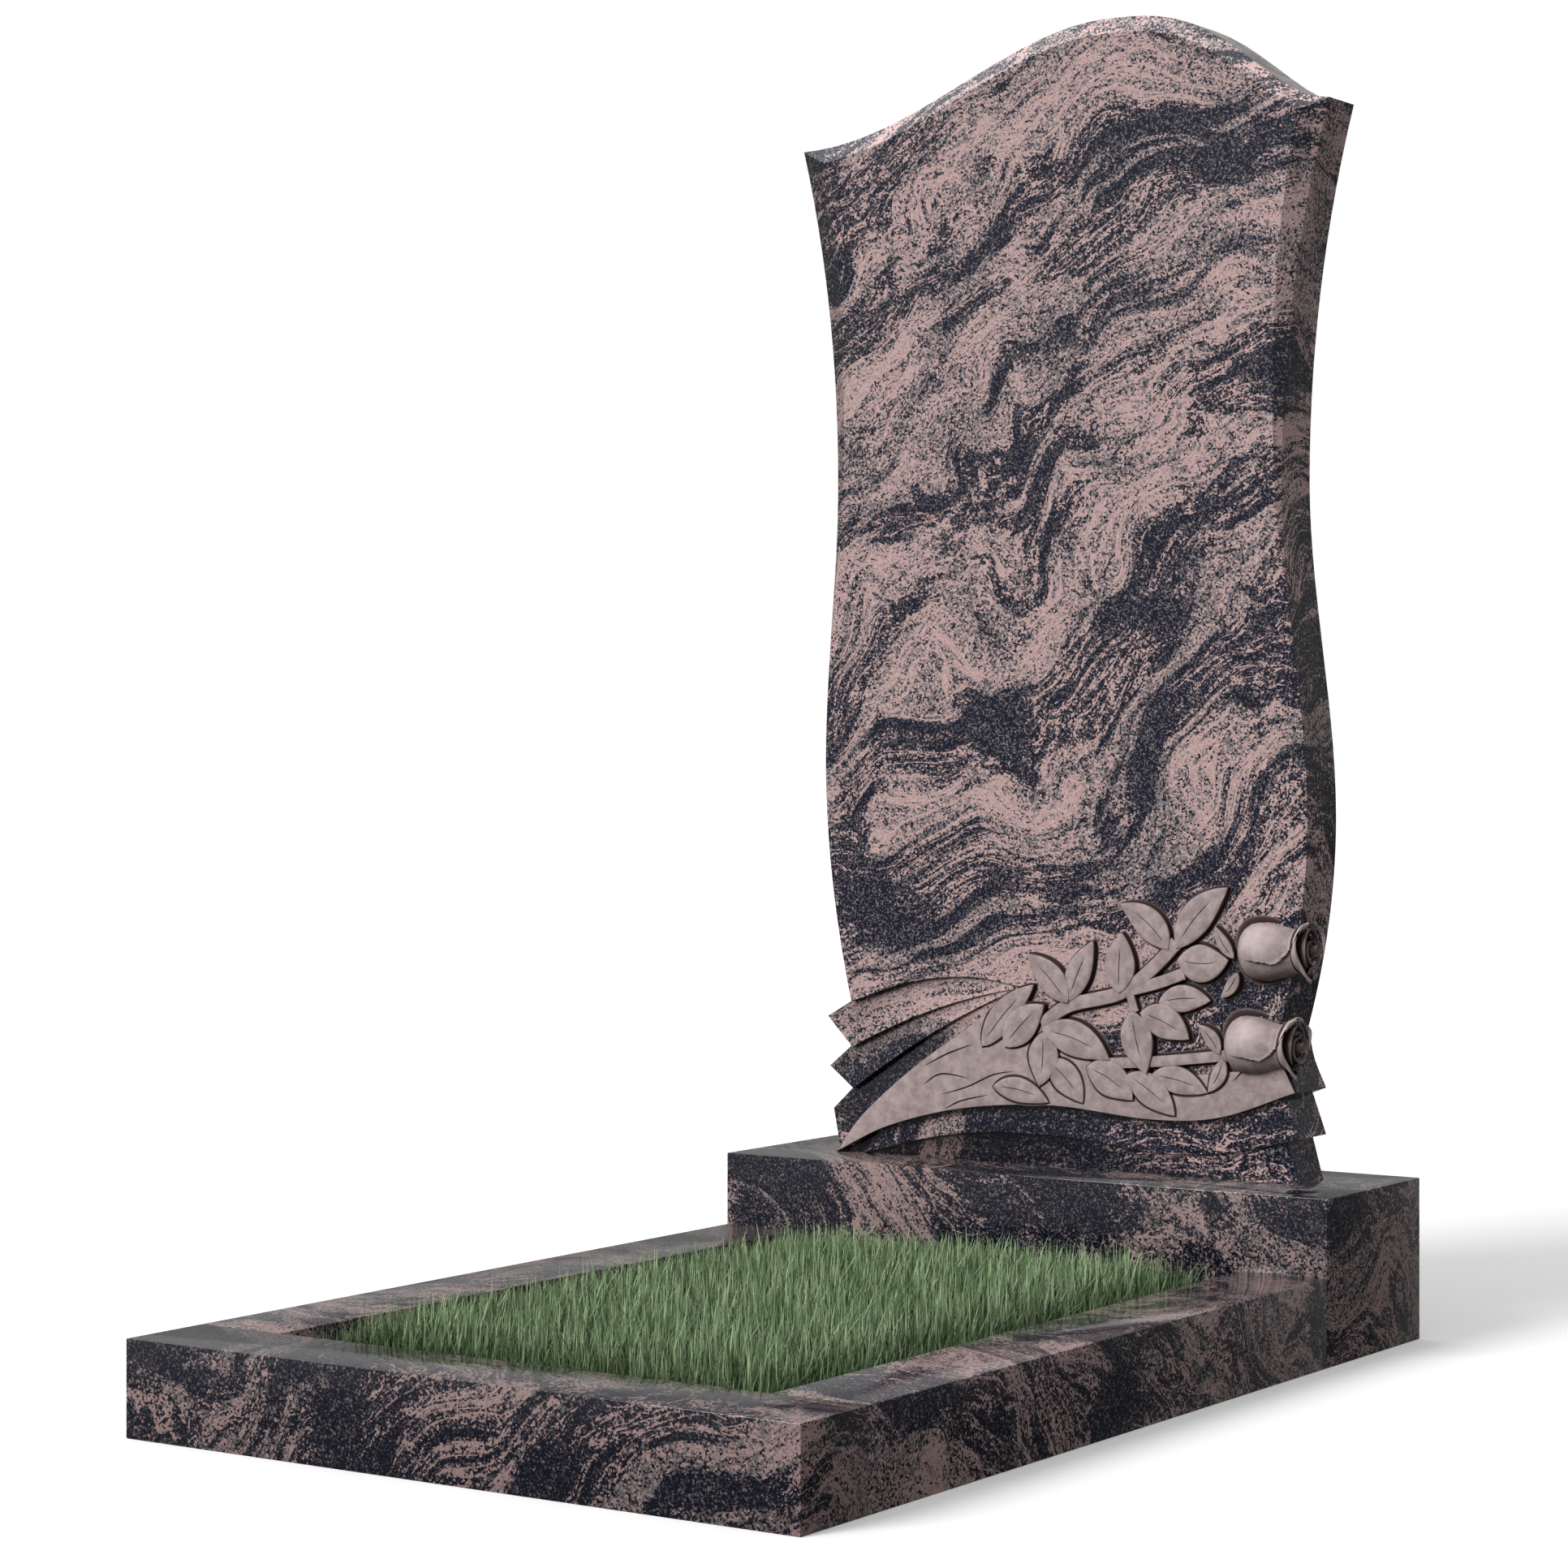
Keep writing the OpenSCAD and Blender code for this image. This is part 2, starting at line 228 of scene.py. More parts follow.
def granite(name, move, turn, tone=1.0, low_navy=0.03):
    """Polished granite: crisp grains whose mix follows swirling bands and thin veins.

    It holds more navy low down. The attribute "shade" paints shade into the hollows of the folds, and "lit"
    paints a bevel lighter (painted light) or darker (painted shade) than the face.
    """
    paint = Paint(name)
    here = paint.place()
    swirled = paint.push(paint.mapped(here, move, turn), swirl_scale, swirl_push)
    swirled = paint.push(swirled, ripple_scale, ripple_push)
    low_down = 1 - paint.step(paint.height(here), navy_below, navy_above)
    bands = paint.noise(paint.mapped(swirled, size=(1.0, 1.0, band_stretch)), band_scale, 6.0, 0.58)
    bands = bands - low_navy * low_down
    veins = paint.noise(paint.mapped(swirled, size=(1.0, 1.0, vein_stretch)), vein_scale, 3.0, 0.55)
    patches = paint.noise(swirled, patch_scale)
    # Where the stone is navy, where it is clean pink, and where a thin dark or pink vein runs
    navy = 1 - paint.step(bands, 0.46, 0.51)
    clean = paint.step(bands, 0.57, 0.63)
    dark_vein = 1 - paint.step(veins, 0.38, 0.42)
    pink_vein = 1 - paint.step(abs(veins - 0.54), 0.012, 0.04)
    pink_vein = pink_vein * paint.step(patches, 0.40, 0.52)
    # The share of grains that are pink, and of the others the share that are dark
    pink_share = 0.36 - 0.33 * navy - 0.30 * dark_vein + 0.60 * pink_vein + 0.36 * clean
    pink_share = pink_share + (patches - 0.5) * 0.8
    dark_share = 0.46 + 0.44 * navy + 0.24 * dark_vein
    grains = paint.cells(here, grain_scale)
    specks = paint.cells(here, speck_scale)
    is_pink = paint.step(pink_share - grains[0], -grain_blur, grain_blur)
    is_dark = paint.step(dark_share - grains[1], -grain_blur, grain_blur)
    dark = paint.mix(grains[2], BLACK, NAVY)
    light = paint.mix(specks[0], PINK, PALE_PINK)
    color = paint.mix(is_pink, paint.mix(is_dark, GREY, dark), light)
    color = paint.mix(paint.step(specks[1], 0.80, 0.86) * 0.55, color, GREY)
    # Painted shade in the fold hollows, and painted light and shade on the bevels
    light_here = (1 - 0.8 * paint.attribute("shade")) * (1 + paint.attribute("lit"))
    color = paint.vector("SCALE", color, None, light_here * tone)
    paint.shade(Base_Color=color, Roughness=0.08 + 0.05 * specks[2], Specular_IOR_Level=0.3)
    return paint.material


def carved_granite():
    """Matt carved granite: pale with painted highlight where "pale" says, and dark with painted shade where
    "cut" says.
    """
    paint = Paint("matt_granite")
    here = paint.place()
    cloud = paint.noise(here, 85, 4.0, 0.65)
    grain = paint.noise(here, 900, 2.0, 0.6)
    color = paint.mix(paint.step(cloud, 0.3, 0.72), MATT_DIM, MATT_BRIGHT)
    color = paint.mix(paint.step(grain, 0.35, 0.65) * 0.16, color, MATT_GRAIN)
    # Painted highlight where the attribute "pale" says
    color = paint.mix(paint.attribute("pale"), color, MATT_PAINTED_HIGHLIGHT)
    # Painted shade where the attribute "cut" says: grooves, creases, feet, undersides and sides
    color = paint.mix(paint.step(paint.attribute("cut"), 0.05, 0.85), color, MATT_PAINTED_SHADE)
    paint.shade(Base_Color=color, Roughness=0.72 + 0.12 * grain, Specular_IOR_Level=0.3,
                Normal=paint.bump(grain + cloud * 2, 0.25, 0.0004))
    return paint.material


# Height above the earth at which a blade has its full colour and the painted shade at its foot is gone
blade_bright = 48 * MM


def grass():
    """Blades with painted shade at the foot; the attribute "blade" says how light each one is."""
    paint = Paint("grass")
    rise = paint.step(paint.height(paint.place()), turf_high.z, turf_high.z + blade_bright)
    blade = paint.attribute("blade")
    # Painted shade low down in the grass
    foot = paint.mix(blade, (0.012, 0.03, 0.010), (0.03, 0.065, 0.02))
    tip = paint.mix(blade, (0.09, 0.17, 0.06), (0.42, 0.54, 0.31))
    paint.shade(Base_Color=paint.mix(rise, foot, tip), Roughness=0.5 + 0.1 * blade,
                Specular_IOR_Level=0.35)
    return paint.material


def soil():
    paint = Paint("soil")
    crumbs = paint.noise(paint.place(), 160, 6.0, 0.65)
    color = paint.mix(crumbs, (0.006, 0.008, 0.004), (0.04, 0.05, 0.022))
    paint.shade(Base_Color=color, Roughness=0.85 + 0.1 * crumbs, Normal=paint.bump(crumbs, 0.6, 0.003))
    return paint.material


# Each block is cut from the rock in another place and direction; the plinth and kerbs are darker, each by
# its own tone.
STONE = {
    "stele": granite("granite_stele", (0.31, 0.0, 0.12), (0, 28, 0), low_navy=0.06),
    "plinth": granite("granite_plinth", (1.7, 0.4, 0.35), (20, -35, 10), 0.6),
    "front_kerb": granite("granite_front_kerb", (2.9, 1.3, 0.8), (0, 40, 25), 0.58),
    "left_kerb": granite("granite_left_kerb", (4.1, 2.2, 1.1), (25, 10, 70), 0.66),
    "right_kerb": granite("granite_right_kerb", (5.3, 3.1, 1.7), (30, 5, 60), 0.75),
}
MATT = carved_granite()
GRASS = grass()
SOIL = soil()

# ---- helpers that make pieces ----


def finish_piece(bm, name, material, slot, *nodes, smooth_angle=30):
    """Turns a bmesh into a piece that rides on the stone set."""
    mesh = bpy.data.meshes.new(name)
    limit = math.radians(smooth_angle)
    for face in bm.faces:
        face.smooth = True
    for edge in bm.edges:
        edge.smooth = edge.is_manifold and edge.calc_face_angle(0) < limit
    bm.to_mesh(mesh)
    bm.free()
    mesh.materials.append(material)
    piece = bpy.data.objects.new(name, mesh)
    bpy.context.collection.objects.link(piece)
    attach(piece, "root")
    if nodes:
        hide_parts(*nodes)
    return piece


def bevel_edges(bm, edges, offset, segments):
    bmesh.ops.bevel(bm, geom=edges, offset=offset, offset_type="OFFSET", segments=segments,
                    profile=0.5, affect="EDGES", clamp_overlap=True, material=-1)


def sharp_edges(bm, degrees):
    limit = math.radians(degrees)
    return [edge for edge in bm.edges if edge.is_manifold and edge.calc_face_angle(0) > limit]


# ---- plinth and kerb stones ----

block_arris = 1.0 * MM


def make_block(node):
    """A plain block with fine rounded edges."""
    low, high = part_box(node)
    bm = bmesh.new()
    bmesh.ops.create_cube(bm, size=1)
    bmesh.ops.scale(bm, vec=high - low, verts=bm.verts)
    bmesh.ops.translate(bm, vec=(low + high) / 2, verts=bm.verts)
    bevel_edges(bm, bm.edges[:], block_arris, 2)
    finish_piece(bm, node + "_stone", STONE[node], "polished_granite", node)


for block in ("plinth", "front_kerb", "left_kerb", "right_kerb"):
    make_block(block)

# ---- the upright stone without its carving ----

# The face is cut back a hair so that the carving covers it without touching faces.
face_gap = 0.05 * MM
stele_arris = 0.7 * MM
# Edges sharper than this get an arris; faces closer than the other angle are shaded as one.
arris_angle = 50
stele_smooth = 12
# Where the folds lie on the stone, and how deep their hollows are: painted shade grows from the first depth
# to the second, and none is painted past the third
fold_right = -20 * MM
fold_high = plinth_high.z + 200 * MM
hollow_from = 2.2 * MM
hollow_to = 8.0 * MM
hollow_back = 14 * MM
# The bevels, by the way they face and how high up they start
bevel_front = 0.75
bevel_from = plinth_high.z + 480 * MM
top_bevel_up = 0.25
# Painted light on the top bevel, and painted shade that grows on a side bevel as it turns sideways
top_bevel_lit = 0.35
side_bevel_lit = -1.3


def fold_shade(spot):
    """How much painted shade falls in the hollows between the folds, from 0 to 1."""
    depth = spot.y - face_y
    if spot.x > fold_right or spot.z > fold_high or depth > hollow_back:
        return 0.0
    return min(max((depth - hollow_from) / (hollow_to - hollow_from), 0), 1)


def bevel_light(face):
    """How much painted light or shade a bevel gets against the face: the top one is painted lighter, the
    sides darker.
    """
    if face.normal.y > -bevel_front or face.calc_center_median().z < bevel_from:
        return 0.0
    return top_bevel_lit if face.normal.z > top_bevel_up else side_bevel_lit * abs(face.normal.x)


def make_stele():
    """The polished stone, cut back to just below its face, with a fine arris on its outer edges."""
    bm = bmesh.new()
    bm.from_mesh(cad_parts["stele"].data)
    bmesh.ops.remove_doubles(bm, verts=bm.verts, dist=0.02 * MM)
    geometry = bm.verts[:] + bm.edges[:] + bm.faces[:]
    cut = bmesh.ops.bisect_plane(bm, geom=geometry, dist=1e-6, plane_co=(0, face_y + face_gap, 0),
                                 plane_no=(0, -1, 0), clear_outer=True)
    rim = [item for item in cut["geom_cut"] if isinstance(item, bmesh.types.BMEdge)]
    bmesh.ops.holes_fill(bm, edges=rim, sides=0)
    bmesh.ops.dissolve_limit(bm, angle_limit=math.radians(0.5), verts=bm.verts, edges=bm.edges)
    bevel_edges(bm, sharp_edges(bm, arris_angle), stele_arris, 1)
    bmesh.ops.recalc_face_normals(bm, faces=bm.faces)
    # Painted shade in the fold hollows, and painted light and shade on the bevels
    shade = bm.verts.layers.float.new("shade")
    for vert in bm.verts:
        vert[shade] = fold_shade(vert.co)
    lit = bm.faces.layers.float.new("lit")
    for face in bm.faces:
        face[lit] = bevel_light(face)
    finish_piece(bm, "stele_stone", STONE["stele"], "carved_granite", "stele", smooth_angle=stele_smooth)


make_stele()

# ---- curves of the carving, in millimetres on the face ----


def spline(points, steps):
    """Smooth curve through a few points."""
    ends = [2 * Vector(points[0]) - Vector(points[1])]
    ends += [Vector(point) for point in points]
    ends.append(2 * Vector(points[-1]) - Vector(points[-2]))
    line = []
    for before, start, end, after in zip(ends, ends[1:], ends[2:], ends[3:]):
        for i in range(steps):
            t = i / steps
            line.append(0.5 * (2 * start + (end - before) * t
                               + (2 * before - 5 * start + 4 * end - after) * t ** 2
                               + (3 * start - before - 3 * end + after) * t ** 3))
    return line + [Vector(points[-1])]


def height_on(line, x):
    """Height at x of a line that runs from left to right, or None past its ends."""
    for start, end in zip(line, line[1:]):
        if start.x <= x <= end.x:
            return start.y + (end.y - start.y) * (x - start.x) / max(end.x - start.x, 1e-6)
    return None


CLOTH_LOW = spline([(-241, 0), (-180, 29), (-94, 51), (5, 59), (110, 52), (183, 58), (260, 85)], 8)
CLOTH_RISE = spline([(-241, 0), (-210, 39), (-151, 88), (-80, 136), (-34, 171)], 8)
CLOTH_RIGHT = spline([(-34, 171), (4, 128), (40, 106), (92, 92), (150, 96), (248, 108)], 4)
CLOTH_HIGH = CLOTH_RISE + CLOTH_RIGHT[1:]
cloth_up = 4.0
# How far past the cloth's lower and upper outlines its height still counts
cloth_slack_low = 2
cloth_slack_high = 1


def ground(point):
    """Height of the surface that a carved leaf or stem stands on: the cloth or the polished face."""
    low = height_on(CLOTH_LOW, point.x)
    high = height_on(CLOTH_HIGH, point.x)
    if low is None or high is None:
        return 0.0
    return cloth_up if low - cloth_slack_low < point.y < high + cloth_slack_high else 0.0


# ---- carved strips: leaves and stems ----

# From the middle outwards: share of the half width, millimetres beyond it, level, and how much painted
# shade it carries.
# Levels go from 1 at the top to 0 at the foot; -1 is buried, and the groove has its own.
in_groove = 2.0
groove_side = 0.55
# The rows past the foot are a flat rim on the surface, dark as a painted shadow round the shape.
SECTION = [(0.0, 0.0, in_groove, 0.95), (0.0, groove_side, 1.0, 0.12), (0.35, 0.0, 1.0, 0.0),
           (0.65, 0.0, 1.0, 0.0), (0.86, 0.0, 1.0, 0.02), (1.0, -0.9, 0.96, 0.12), (1.0, -0.25, 0.86, 0.6),
           (1.0, 0.0, 0.6, 1.0), (1.0, 0.15, 0.0, 1.0), (1.0, 1.5, 0.0, 0.9), (1.0, 2.3, 0.0, 0.35),
           (1.0, 2.4, -1.0, 1.0)]
buried = 1.5
foot_clear = 0.1
# A groove's painted shade is full from this depth on.
dark_depth = 0.5
# Where a strip is narrow, its inner rows are at most this far past their place and its rim rows at least
# this far out, as shares of the half width.
inner_room = 0.3
rim_room = 0.7
# Vertices closer than this, in millimetres, are one.
weld = 0.01


def row_distance(share, beyond, half):
    """How far from the middle of a strip one of its rows runs."""
    reach = share * half + beyond
    if share < 1:
        return max(min(reach, share * half + inner_room * half), 0)
    return max(reach, share * half * rim_room)


def row_height(level, top, floor_z, depth):
    """How high one of a strip's rows lies, between the surface it stands on and its top."""
    if level == in_groove:
        return top - depth
    if level < 0:
        return floor_z - buried
    return floor_z + foot_clear + (top - floor_z - foot_clear) * level


def carve_strip(bm, line, half_widths, up, groove, dome):
    """A low carved shape along a line, with rounded edges, a groove down the middle, and painted shade at
    its foot and in the groove.
    """
    cut = bm.verts.layers.float["cut"]
    rows = len(line) - 1
    reach = len(SECTION) - 1
    made = bmesh.ops.create_grid(bm, x_segments=rows, y_segments=2 * reach, size=1)["verts"]
    for vert in made:
        i = round((vert.co.x + 1) / 2 * rows)
        j = round((vert.co.y + 1) / 2 * 2 * reach) - reach
        share, beyond, level, dark = SECTION[abs(j)]
        along = (line[min(i + 1, rows)] - line[max(i - 1, 0)]).normalized()
        across = Vector((-along.y, along.x)) * (1 if j > 0 else -1)
        half, depth = half_widths[i], groove[i]
        if i in (0, rows):
            out = along * (1 if i else -1) * max(beyond, 0) + across * share * half
        else:
            out = across * row_distance(share, beyond, half)
        spot = line[i] + out
        top = up - dome * (share if share else 0.05) ** 2
        # Painted shade in a shallow groove is weaker
        if level == in_groove or beyond == groove_side:
            dark = dark * min(depth / dark_depth, 1)
        vert.co = (spot.x, spot.y, row_height(level, top, ground(spot), depth))
        vert[cut] = dark
    bmesh.ops.remove_doubles(bm, verts=made, dist=weld)


def new_carving():
    bm = bmesh.new()
    bm.verts.layers.float.new("cut")
    bm.verts.layers.float.new("pale")
    return bm


def finish_carving(bm, name, smooth_angle=40):
    bmesh.ops.dissolve_degenerate(bm, edges=bm.edges, dist=0.005)
    bmesh.ops.recalc_face_normals(bm, faces=bm.faces)
    bm.transform(ON_FACE)
    return finish_piece(bm, name, MATT, "carved_granite", smooth_angle=smooth_angle)


# Leaves, each as (base x, base height, direction, length, width, bend to the left, height)
LEAVES = [
    (130, 212, 141, 65, 30, -5, 6.6), (138, 213, 47, 79, 32, 5, 6.2), (78, 169, 87, 57, 33, 1, 6.8),
    (23, 158, 135, 63, 29, -2, 7.4), (23, 159, 65, 64, 27, 2, 6.2), (140, 202, 2, 53, 36, -3, 7.0),
    (199, 206, 124, 35, 13, 2, 7.8), (203, 193, 234, 30, 13, 2, 7.8),
    (-72, 112, 47, 84, 28, 4, 6.3), (-46, 113, 44, 60, 33, 3, 7.6), (-5, 131, 341, 77, 34, 5, 7.0),
    (-5, 129, 266, 52, 33, 2, 5.9), (-60, 74, 349, 62, 24, 4, 5.4), (0, 102, 315, 54, 30, 3, 5.2),
    (43, 98, 330, 57, 34, 4, 6.3), (92, 153, 285, 60, 34, -2, 7.9), (101, 152, 336, 56, 32, 3, 7.1),
    (120, 162, 4, 54, 26, 3, 6.1), (184, 117, 130, 34, 16, -2, 7.2), (188, 113, 243, 36, 16, 2, 6.6),
    (112, 94, 347, 60, 26, 3, 5.5), (86, 93, 325, 62, 30, 3, 6.0)]
leaf_rows = 22
leaf_dome = 0.7
# A leaf is widest a little below its middle, and its sides are full.
leaf_low = 0.85
leaf_full = 0.8
# The midrib starts and ends short of the leaf's ends.
midrib = 0.8
midrib_from = 0.10
midrib_to = 0.78


def make_leaves():
    bm = new_carving()
    steps = [i / leaf_rows for i in range(leaf_rows + 1)]
    groove = [midrib * min(max((t - midrib_from) * 6, 0), max((midrib_to - t) * 5, 0), 1) for t in steps]
    for x, y, direction, length, width, bend, up in LEAVES:
        turn = Matrix.Rotation(math.radians(direction), 2)
        line = [Vector((x, y)) + turn @ Vector((length * t, bend * math.sin(math.pi * t))) for t in steps]
        half = [width / 2 * math.sin(math.pi * t ** leaf_low) ** leaf_full if 0 < t < 1 else 0
                for t in steps]
        carve_strip(bm, line, half, up, groove, leaf_dome)
    finish_carving(bm, "carved_leaves")


# Stems, each as (width, height, points from the foot to the end)
STEMS = [
    (14, 5.4, [(-6, 136), (23, 155), (78, 169), (112, 193), (138, 218)]),
    (12, 5.2, [(88, 172), (118, 180), (146, 190)]),
    (11, 5.5, [(60, 102), (119, 107), (192, 116)]),
    (9, 5.1, [(88, 170), (94, 152)])]
stem_dome = 0.6


def make_stems():
    bm = new_carving()
    for width, up, points in STEMS:
        line = spline(points, 8)
        carve_strip(bm, line, [width / 2] * len(line), up, [0] * len(line), stem_dome)
    finish_carving(bm, "carved_stems")


# Lines cut into the cloth
ENGRAVED = [
    [(-140, 89), (-112, 103), (-82, 114)], [(-141, 71), (-119, 83), (-85, 80)],
    [(-123, 62), (-90, 72), (-61, 85), (-36, 90)], [(-116, 49), (-97, 58), (-65, 66)],
    [(-52, 64), (-20, 66), (2, 64)], [(196, 92), (206, 102), (214, 112)]]
engraved_r = 0.9
engraved_sides = 8
# How quickly an engraved line swells from its pointed ends
engraved_swell = 0.6
# An engraved line's painted shade is full from this depth on.
engraved_dark = 0.45
cloth_edge = 1.0


def groove_cutter():
    """Thin round bars along the engraved lines, tapered at both ends."""
    bm = bmesh.new()
    for points in ENGRAVED:
        line = spline(points, 8)
        last = len(line) - 1
        made = bmesh.ops.create_grid(bm, x_segments=last, y_segments=engraved_sides, size=1)["verts"]
        for vert in made:
            i = round((vert.co.x + 1) / 2 * last)
            angle = (vert.co.y + 1) * math.pi
            along = (line[min(i + 1, last)] - line[max(i - 1, 0)]).normalized()
            across = Vector((-along.y, along.x))
            size = engraved_r * math.sin(math.pi * i / last) ** engraved_swell
            spot = line[i] + across * math.cos(angle) * size
            vert.co = (spot.x, spot.y, cloth_up + math.sin(angle) * size)
        bmesh.ops.remove_doubles(bm, verts=made, dist=weld)
    bmesh.ops.recalc_face_normals(bm, faces=bm.faces)
    mesh = bpy.data.meshes.new("groove_cutter")
    bm.to_mesh(mesh)
    bm.free()
    cutter = bpy.data.objects.new("groove_cutter", mesh)
    bpy.context.collection.objects.link(cutter)
    return cutter


def make_cloth():
    """The matt cloth: a low sheet of stone with engraved lines, and painted shade on its sides and in the
    lines.
    """
    bm = bmesh.new()
    outline = CLOTH_LOW + CLOTH_RIGHT[::-1][:-1] + CLOTH_RISE[::-1][:-1]
    base = bm.faces.new([bm.verts.new((point.x, point.y, -buried)) for point in outline])
    raised = bmesh.ops.extrude_face_region(bm, geom=[base])["geom"]
    top = [item for item in raised if isinstance(item, bmesh.types.BMVert)]
    bmesh.ops.translate(bm, vec=(0, 0, buried + cloth_up), verts=top)
    rim = [edge for edge in bm.edges if all(vert.co.z > 0 for vert in edge.verts)]
    bevel_edges(bm, rim, cloth_edge, 3)
    bmesh.ops.recalc_face_normals(bm, faces=bm.faces)
    mesh = bpy.data.meshes.new("cloth_blank")
    bm.to_mesh(mesh)
    bm.free()
    blank = bpy.data.objects.new("cloth_blank", mesh)
    bpy.context.collection.objects.link(blank)
    cutter = groove_cutter()
    engrave = blank.modifiers.new("engrave", "BOOLEAN")
    engrave.object = cutter
    engrave.operation = "DIFFERENCE"
    engrave.solver = "EXACT"
    carved = new_carving()
    carved.from_object(blank, bpy.context.evaluated_depsgraph_get())
    bpy.data.objects.remove(blank)
    bpy.data.objects.remove(cutter)
    # Painted shade: full on the cloth's sides, and growing with depth in the engraved lines
    cut = carved.verts.layers.float["cut"]
    for vert in carved.verts:
        depth = cloth_up - vert.co.z
        is_side = depth > engraved_r + 0.2
        vert[cut] = 1.0 if is_side else min(depth / engraved_dark, 1)
    finish_carving(carved, "carved_cloth", 25)


make_leaves()
make_stems()
make_cloth()

# ---- roses ----

rose_r = 27.5
rose_l = 72.0
# The cup of a rose from its base to the lip and back inside, as shares of its length and radius
CUP = [(0.0, 0.0), (0.0, 0.30), (0.02, 0.50), (0.05, 0.68), (0.10, 0.82), (0.17, 0.93), (0.26, 0.99),
       (0.36, 1.0), (0.46, 0.98), (0.56, 0.92), (0.65, 0.84), (0.72, 0.78), (0.78, 0.77), (0.84, 0.82),
       (0.89, 0.91), (0.925, 0.99), (0.945, 1.0), (0.95, 0.95), (0.93, 0.86), (0.89, 0.76),
       (0.84, 0.68), (0.74, 0.60), (0.66, 0.4), (0.64, 0.0)]
lip_at = 0.945
petals = 3
petal_lap = 3.0
spin_steps = 144
# Where the seams between petals start, where the lip starts to roll, and where the throat is narrowest,
# as shares of the length; and the radius inside which the cup is hollow, as a share of the rose's
seam_from = 0.16
lip_from = 0.78
throat_at = 0.76
hollow_r = 0.84
# How far the rolled lip stands out and waves along the rose
lip_roll = 2.6
lip_wave = 4.0
# How strong the painted shade is inside, underneath and in the throat
inside_dark = 0.85
under_dark = 0.85
throat_dark = 0.30


def limited(value):
    return min(max(value, 0), 1)


def shape_cup(bm, phase):
    """Three broad petals wrapped round each other, with rolled lips that carry painted highlight and seams
    that carry painted shade.
    """
    cut = bm.verts.layers.float["cut"]
    pale = bm.verts.layers.float["pale"]
    spine = [bm.verts.new((t * rose_l, r * rose_r, 0)) for t, r in CUP]
    edges = [bm.edges.new(pair) for pair in zip(spine, spine[1:])]
    bmesh.ops.subdivide_edges(bm, edges=edges, cuts=2, smooth=1.0)
    bmesh.ops.spin(bm, geom=bm.verts[:] + bm.edges[:], cent=(0, 0, 0), axis=(1, 0, 0),
                   angle=math.tau, steps=spin_steps, use_merge=True)
    bmesh.ops.remove_doubles(bm, verts=bm.verts, dist=weld)
    for vert in bm.verts:
        t = vert.co.x / rose_l
        radius = math.hypot(vert.co.y, vert.co.z)
        if radius < 0.1:
            vert[cut] = 1.0
            continue
        angle = math.atan2(vert.co.z, vert.co.y)
        # The seam runs along the cup and then sweeps up to the lip, like a flat letter S.
        sweep = 0.06 * math.sin(math.tau * t) + 2.2 * max(t - 0.56, 0) ** 1.5
        lap = (petals * angle / math.tau + phase + sweep) % 1
        grows = limited((t - seam_from) / 0.2)
        is_lip = limited((t - lip_from) / 0.12)
        is_inside = radius < hollow_r * rose_r and t > 0.80
        # Each petal rises from under one neighbour and ends over the other.
        lift = petal_lap * (lap - 0.6) * grows * (0.35 if is_inside else 1)
        lift += lip_roll * is_lip * math.sin(petals * math.pi * lap * 0.8)
        share = (radius + lift) / radius
        # Painted shade along the seams, round the foot, below, in the throat and inside the cup
        seam = max(limited(1 - lap / 0.06), 0.5 * limited(1 - (1 - lap) / 0.012)) * grows
        foot = limited(1 - t / seam_from) ** 1.5
        under = limited(0.55 - vert.co.y / rose_r - 1.1) * 1.2 * under_dark
        throat = limited(1 - abs(t - throat_at) / 0.07) * throat_dark * (1 - is_lip)
        vert[cut] = inside_dark if is_inside else max(seam, foot, throat, under)
        # Painted highlight on the front of the belly, on the lip and along the petals' edges
        front = limited(vert.co.z / rose_r) * limited(0.6 + vert.co.y / rose_r)
        belly = limited(1 - abs(t - 0.36) / 0.34)
        edge = limited(1 - (1 - lap) / 0.10) * limited((t - 0.42) / 0.15)
        vert[pale] = 0 if is_inside else max(0.45 * front * belly, 0.8 * is_lip * lap, 0.9 * edge)
        wave = is_lip * lip_wave * (lap - 0.5)
        vert.co = (vert.co.x + wave, vert.co.y * share, vert.co.z * share)


bloom_turns = 2.4
bloom_around = 144
bloom_along = 8
bloom_wall = 1.5
# The least painted shade on the inner petals
bloom_dark = 0.36


def add_bloom(bm):
    """The inner petals: one thin sheet wound in a spiral, with a wavy rim."""
    sheet = new_carving()
    bmesh.ops.create_grid(sheet, x_segments=bloom_around, y_segments=bloom_along, size=1)
    for vert in sheet.verts:
        u = (vert.co.x + 1) / 2
        v = (vert.co.y + 1) / 2
        angle = bloom_turns * math.tau * u
        radius = rose_r * (0.08 + 0.68 * u) * (0.80 + 0.20 * v ** 2)
        radius += 2.0 * v ** 3 * math.sin(angle * 1.5 + 1.0)
        rim = 0.64 + (0.40 - 0.06 * u) * v + 0.022 * v * math.sin(angle * 1.5)
        vert.co = (rim * rose_l, radius * math.cos(angle), radius * math.sin(angle))
    bmesh.ops.solidify(sheet, geom=sheet.faces[:], thickness=bloom_wall)
    cut = sheet.verts.layers.float["cut"]
    # Painted shade on the inner petals, deepest down inside the rose
    for vert in sheet.verts:
        vert[cut] = limited(max(1.0 - (vert.co.x / rose_l - 0.90) / 0.13, bloom_dark))
    mesh = bpy.data.meshes.new("bloom")
    sheet.to_mesh(mesh)
    sheet.free()
    bm.from_mesh(mesh)
    bpy.data.meshes.remove(mesh)


# A band of painted shade round a rose's foot, as (distance from the rose, height, how dark)
BORDER = [(-3.0, -1.0, 1.0), (0.0, 0.6, 1.0), (3.0, 0.5, 0.85), (6.0, 0.35, 0.5), (6.4, -1.5, 0.5)]
# The row of CUP that the border ends before, and the side on which it is widest: the upper left
border_end = 10
BORDER_SIDE = Vector((-0.7, 0.7))


